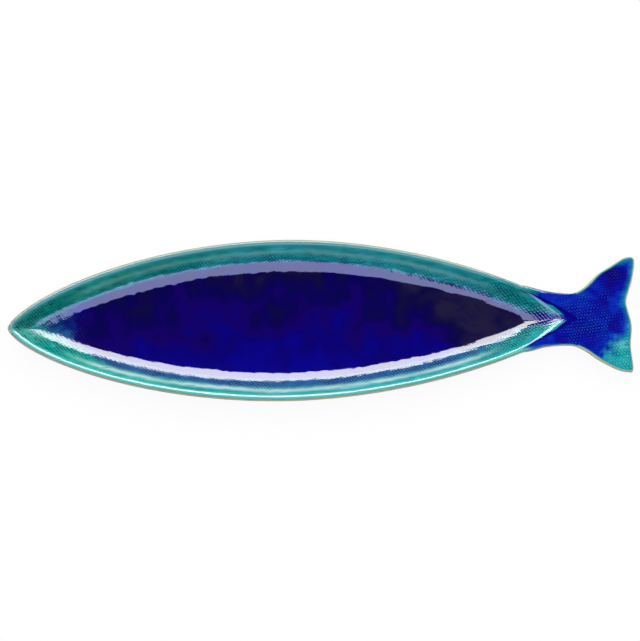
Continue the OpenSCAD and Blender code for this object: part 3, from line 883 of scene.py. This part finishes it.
def tailCoat():
    k = stationsAlong(edgeAt, rootN, halfN, fin["spacing"])
    k, side = np.concatenate([k, k[-2::-1]]), np.concatenate([-np.ones(len(k)), np.ones(len(k) - 1)])
    lip = edgeAt(k, side)
    start = coatEdgeAngle(lip[:, 0], lip[:, 1])

    def face(edgeRows, flatRows, onTop):
        grid = []
        for angle, share, rise in rimSteps(start, edgeRows, flatRows):
            x, y, z = rimFace(k, side, angle, share)
            depth = glaze["edgeThickness"] * (1 - rise) + relief(x, y) * rise if onTop else coatDepth(rise)
            grid.append(bowed(x, y, z - depth))
        return np.array(grid)

    points, (topIn, backIn) = numbered(face(fin["edgeRows"], fin["rows"], True),
                                       face(fin["backEdgeRows"], fin["backRows"], False))
    makePiece("tailCoat", points, skins(topIn, backIn), caps(topIn, backIn),
              finGlaze, ["tail_glaze"], glazePaint)


tailCoat()

# The coat under the wall and the fin, from the lip to the foot ring
under = {"spacing": 1.1, "rows": (6, 10, 26), "backRows": (2, 4, 10), "uneven": 0.025}


def underRows(k, side, start, edgeRows, flatRows, wallRows):
    # Rows from the lip to the crest's line and on to the foot: (x, y, z, rise of the coat from its edge)
    rows = [rimFace(k, side, angle, share, True) + (rise,)
            for angle, share, rise in rimSteps(start, edgeRows, flatRows)]
    for share in np.linspace(0, 1, wallRows + 1)[1:]:
        x, y, z = lowWall(k, side, share)
        rows.append((x, y, z - mix(glaze["thickness"], glaze["edgeThickness"], fade(share, 0.75, 0.25)), 1.0))
    return rows


def undersidePaint(x, y):
    # Distance from the outline: on the fin from its edge, and elsewhere from the level between crest and pool
    lipDistance = np.maximum(dish["lipWidth"] + glaze["sideInset"] * poolLevel(x, y), 0)
    return {"rim": np.where(x > rootX, edgeDistance(x, y), lipDistance)}


def undersideCoat():
    k, side = loopOf(stationsAlong(edgeAt, 0, halfN, under["spacing"]))
    lip = edgeAt(k, side)
    start = coatEdgeAngle(lip[:, 0] + 300, lip[:, 1])
    top, back = [], []
    for x, y, z, rise in underRows(k, side, start, *under["rows"]):
        uneven = under["uneven"] * (1 + waves(x, y, 30, 14)) * rise
        top.append(bowed(x, y, z + glaze["edgeThickness"] * (1 - rise) + uneven))
    for x, y, z, rise in underRows(k, side, start, *under["backRows"]):
        back.append(bowed(x, y, z + coatDepth(rise)))
    points, grids = numbered(np.array(top), np.array(back))
    topIn, backIn = (grid[:, np.r_[0:len(k), 0]] for grid in grids)
    makePiece("undersideCoat", points, skins(backIn, topIn), [],
              undersideGlaze, ["underside_glaze"], undersidePaint)


undersideCoat()

# The bare clay: seen at the lip all round, and under the coats elsewhere
clay = {"spacing": 0.8, "edgeRows": 12, "flatRows": 14, "wallRows": 9, "lowRows": 8, "across": 12, "hidden": 0.12}


def clayDish():
    k, side = loopOf(stationsAlong(edgeAt, 0, halfN, clay["spacing"]))
    count = len(k)
    crest, inner = crestAt(k, side), insetLens(k, side, poolInset)
    below = glaze["thickness"] + clay["hidden"]

    def cover(angle):
        # Depth of the clay below the lip's plain form: none where it is bare, and then the coat's thickness
        return glaze["edgeThickness"] * fade(angle, 8, 12) + (
            glaze["thickness"] - glaze["edgeThickness"]) * fade(angle, 55, 30)

    def rim(angle, share, lift, under=False):
        x, y, z = rimFace(k, side, angle, share, under)
        return bowed(x, y, z + lift)

    rows = []
    for share in np.linspace(1, 0, clay["wallRows"] + 1):
        x, y = mix(crest, inner, share).T
        rows.append(bowed(x, y, wellZ(x, y) - below))
    flats, turns = np.linspace(0, 1, clay["flatRows"] + 1)[1:], np.linspace(0, 90, clay["edgeRows"] + 1)
    rows += [rim(90.0, share, -below) for share in flats]
    rows += [rim(angle, 1.0, -cover(angle)) for angle in turns[-2::-1]]
    rows += [rim(angle, 1.0, cover(angle), True) for angle in turns[1:]]
    rows += [rim(90.0, 1 - share, glaze["thickness"], True) for share in flats]
    rows += [bowed(*lowWall(k, side, share)) for share in np.linspace(0, 1, clay["lowRows"] + 1)[1:]]
    ring = np.array(rows)

    # Across the floor and across the base, from the lower side to the upper side
    middle = count // 2
    lower, upper = np.arange(1, middle), count - np.arange(1, middle)
    low, high = ring[0][lower], ring[0][upper]
    floor = []
    for share in np.linspace(0, 1, clay["across"] + 1)[1:-1]:
        x, y = mix(low[:, 0], high[:, 0], share), unbowed(low)[1] * (1 - 2 * share)
        floor.append(bowed(x, y, wellZ(x, y) - glaze["poolThickness"] - clay["hidden"]))
    points, (index, floorIn) = numbered(ring, np.array(floor))
    grid = np.concatenate([index[:1, lower], floorIn, index[:1, upper]])
    nose, notch = np.full((len(grid), 1), index[0, 0]), np.full((len(grid), 1), index[0, middle])
    grid = np.concatenate([nose, grid, notch], axis=1)
    across = [[i for n, i in enumerate(face) if i not in face[:n]] for face in gridFaces(grid).tolist()]
    others = [face for face in across if len(face) > 2] + [index[-1][::-1]]
    makePiece("clayDish", points, [gridFaces(index[:, np.r_[0:count, 0]])[:, ::-1]], others,
              bareClay, ["stoneware_body"], plainPaint)


clayDish()


def footRing():
    # A flat strip luted under the dish, with rounded lower edges
    k, side = loopOf(stationsAlong(edgeAt, 0, halfN, foot["spacing"]))
    outer, inner = footLoop(k, side), footLoop(k, side, foot["ringWidth"], foot["endWidth"])
    width = np.hypot(*(inner - outer).T)
    turns = np.radians(np.linspace(0, 90, foot["edgeRows"] + 1))
    edge = [(foot["edge"] * (1 - math.cos(turn)), foot["edge"] * (1 - math.sin(turn))) for turn in turns]
    profile = [(0, foot["height"])] + edge + [(-a, b) for a, b in edge[::-1]] + [(0, foot["height"])]
    rows = []
    for n, (way, z) in enumerate(profile):
        share = way / width + (n >= len(profile) / 2)
        x, y = mix(outer, inner, share[:, None]).T
        rough = foot["uneven"] * waves(x, y, 11, 15) if 0 < z < foot["height"] else 0
        rows.append(bowed(x, y * (1 + rough), z))
    points, (index,) = numbered(np.array(rows))
    index = np.concatenate([index, index[:1]])[:, np.r_[0:len(k), 0]]
    makePiece("footRing", points, [gridFaces(index)[:, ::-1]], [],
              bareClay, ["foot_ring"], plainPaint)


footRing()

# The thin coat inside the foot ring
base = {"across": 24, "uneven": 0.06, "fromRim": 9.0}


def basePaint(x, y):
    return {"rim": np.full(x.shape, base["fromRim"])}


def baseCoat():
    # A flat lens with a slightly uneven face
    k, side = loopOf(stationsAlong(edgeAt, 0, halfN, foot["spacing"]))
    edge = footLoop(k, side, foot["ringWidth"], foot["endWidth"])
    half = len(k) // 2
    lower, upper = edge[:half + 1], edge[np.r_[0, len(k) - 1:half - 1:-1]]
    x, y = np.moveaxis(mix(lower, upper, np.linspace(0, 1, base["across"] + 1)[:, None, None]), -1, 0)
    bottom = foot["height"] - glaze["thickness"]
    face = bowed(x, y, bottom + base["uneven"] * (1 + waves(x, y, 24, 16)))
    back = bowed(x[[0, -1]], y[[0, -1]], foot["height"])
    points, (index, backIn) = numbered(face, back)
    makePiece("baseCoat", points, skins(backIn, index), [],
              undersideGlaze, ["base_glaze"], basePaint)


baseCoat()
print("pieces are ready")

# Studio: a pale floor, soft panels that the glaze mirrors, and a plain light for its colours
studio = {
    "camera": {"elevation": 78.0, "distance": 1.4, "lens": 115.9, "roll": 1.05,
               "aim": (-0.0019, -0.0008, 0.0215)},
    "world": 0.45, "floor": 0.97, "floorGlow": 0.93, "floorReach": 6.0,
    # Each panel: its name, its side, the elevations and the places along the dish between which it stands
    "panels": [
        ("farMiddle", "far", 23, 45, -0.1, 0.06), ("farTail", "far", 27, 46, -0.6, -0.1),
        ("farEnd", "far", 33, 60, -1.4, -0.6), ("farNose", "far", 27, 46, 0.06, 0.24),
        ("farTip", "far", 23, 38, 0.24, 0.36), ("farPoint", "far", 23, 44, 0.36, 0.9),
        ("nearMiddle", "near", 41, 65, -0.275, 0.32), ("nearTail", "near", 51, 65, -0.6, -0.275),
        ("nearEnd", "near", 50, 77, -1.4, -0.6), ("nearNose", "near", 42, 62, 0.32, 0.44),
        ("nearTip", "near", 41, 53, 0.44, 0.9),
    ],
    "far": {"azimuth": 90, "distance": 2.2, "radiance": 15, "colour": (1, 1, 1)},
    "near": {"azimuth": -90, "distance": 2.0, "radiance": 8, "colour": (0.47, 0.52, 1)},
    "key": {"place": (0.1, 0.5, 1.8), "tilt": -15, "size": 2.4, "power": 34.0},
    # What the glaze mirrors besides the panels, from the horizon up
    "mirrored": [(0, (1, 1, 1, 1)), (0.06, (0.3, 0.3, 0.34, 1)), (0.3, (0.03, 0.03, 0.04, 1)),
                 (1, (0.01, 0.01, 0.014, 1))],
}
white = (1, 1, 1, 1)


def addPanel(name, side, low, high, left, right):
    # A flat panel that faces the dish, between two elevations and two places along it. Only the glaze mirrors it
    look = studio[side]
    low, high, azimuth = (math.radians(angle) for angle in (low, high, look["azimuth"]))
    middle, distance = (low + high) / 2, look["distance"]
    light = bpy.data.lights.new(name, "AREA")
    light.shape = "RECTANGLE"
    light.size = right - left
    light.size_y = 2 * distance * math.tan((high - low) / 2)
    light.energy = look["radiance"] * math.pi * light.size * light.size_y
    light.color = look["colour"]
    panel = place(name, light)
    level = distance * math.cos(middle)
    panel.location = ((left + right) / 2, level * math.sin(azimuth), distance * math.sin(middle))
    panel.rotation_euler = (math.pi / 2 - middle, 0, azimuth + math.pi / 2)
    panel.visible_diffuse = False
    panel.visible_camera = False


for row in studio["panels"]:
    addPanel(*row)

keyLight = bpy.data.lights.new("keyLight", "AREA")
keyLight.size = studio["key"]["size"]
keyLight.energy = studio["key"]["power"]
key = place("keyLight", keyLight)
key.location = studio["key"]["place"]
key.rotation_euler = (math.radians(studio["key"]["tilt"]), 0, 0)
key.visible_glossy = False
key.visible_camera = False

world = bpy.data.worlds.new("studioWorld")
bpy.context.scene.world = world
w = Nodes(world)
rays = w.add("LightPath")
up = w.add("SeparateXYZ", {"Vector": w.add("TexCoord").outputs["Generated"]}).outputs["Z"]
fill = w.add("Background", {"Color": white, "Strength": studio["world"]})
mirrored = w.add("Background", {"Color": w.ramp(up, studio["mirrored"]), "Strength": 1.0})
plainWhite = w.add("Background", {"Color": white, "Strength": 1.0})
unseen = w.add("MixShader", {0: rays.outputs["Is Glossy Ray"], 1: fill.outputs[0], 2: mirrored.outputs[0]})
sky = w.add("MixShader", {0: rays.outputs["Is Camera Ray"], 1: unseen.outputs[0], 2: plainWhite.outputs[0]})
w.add("OutputWorld", {"Surface": sky.outputs[0]})

# The floor keeps the dish's shadow, and is otherwise nearly white
reach = studio["floorReach"]
floorMesh = bpy.data.meshes.new("studioFloor")
corners = [(-reach, -reach, 0), (reach, -reach, 0), (reach, reach, 0), (-reach, reach, 0)]
floorMesh.from_pydata(corners, [], [(0, 1, 2, 3)])
floorObject = place("studioFloor", floorMesh)
paleFloor = bpy.data.materials.new("paleFloor")
f = Nodes(paleFloor)
matt = f.add("BsdfDiffuse", {"Color": (studio["floor"],) * 3 + (1,)})
glow = f.add("Emission", {"Color": white, "Strength": 1.0})
glowing = f.times(f.add("LightPath").outputs["Is Camera Ray"], studio["floorGlow"])
surface = f.add("MixShader", {0: glowing, 1: matt.outputs[0], 2: glow.outputs[0]})
f.add("OutputMaterial", {"Surface": surface.outputs[0]})
floorMesh.materials.append(paleFloor)

view = studio["camera"]
elevation = math.radians(view["elevation"])
cameraData = bpy.data.cameras.new("photoCamera")
cameraData.lens = view["lens"]
cameraData.sensor_width = 36
cameraData.sensor_fit = "HORIZONTAL"
camera = place("photoCamera", cameraData)
aimX, aimY, aimZ = view["aim"]
level, height = view["distance"] * math.cos(elevation), view["distance"] * math.sin(elevation)
camera.location = (aimX, aimY - level, aimZ + height)
turned = Matrix.Rotation(math.pi / 2 - elevation, 4, "X") @ Matrix.Rotation(-math.radians(view["roll"]), 4, "Z")
camera.rotation_euler = turned.to_euler()
bpy.context.scene.camera = camera
bpy.context.scene.view_settings.view_transform = "Standard"
print("studio is ready")
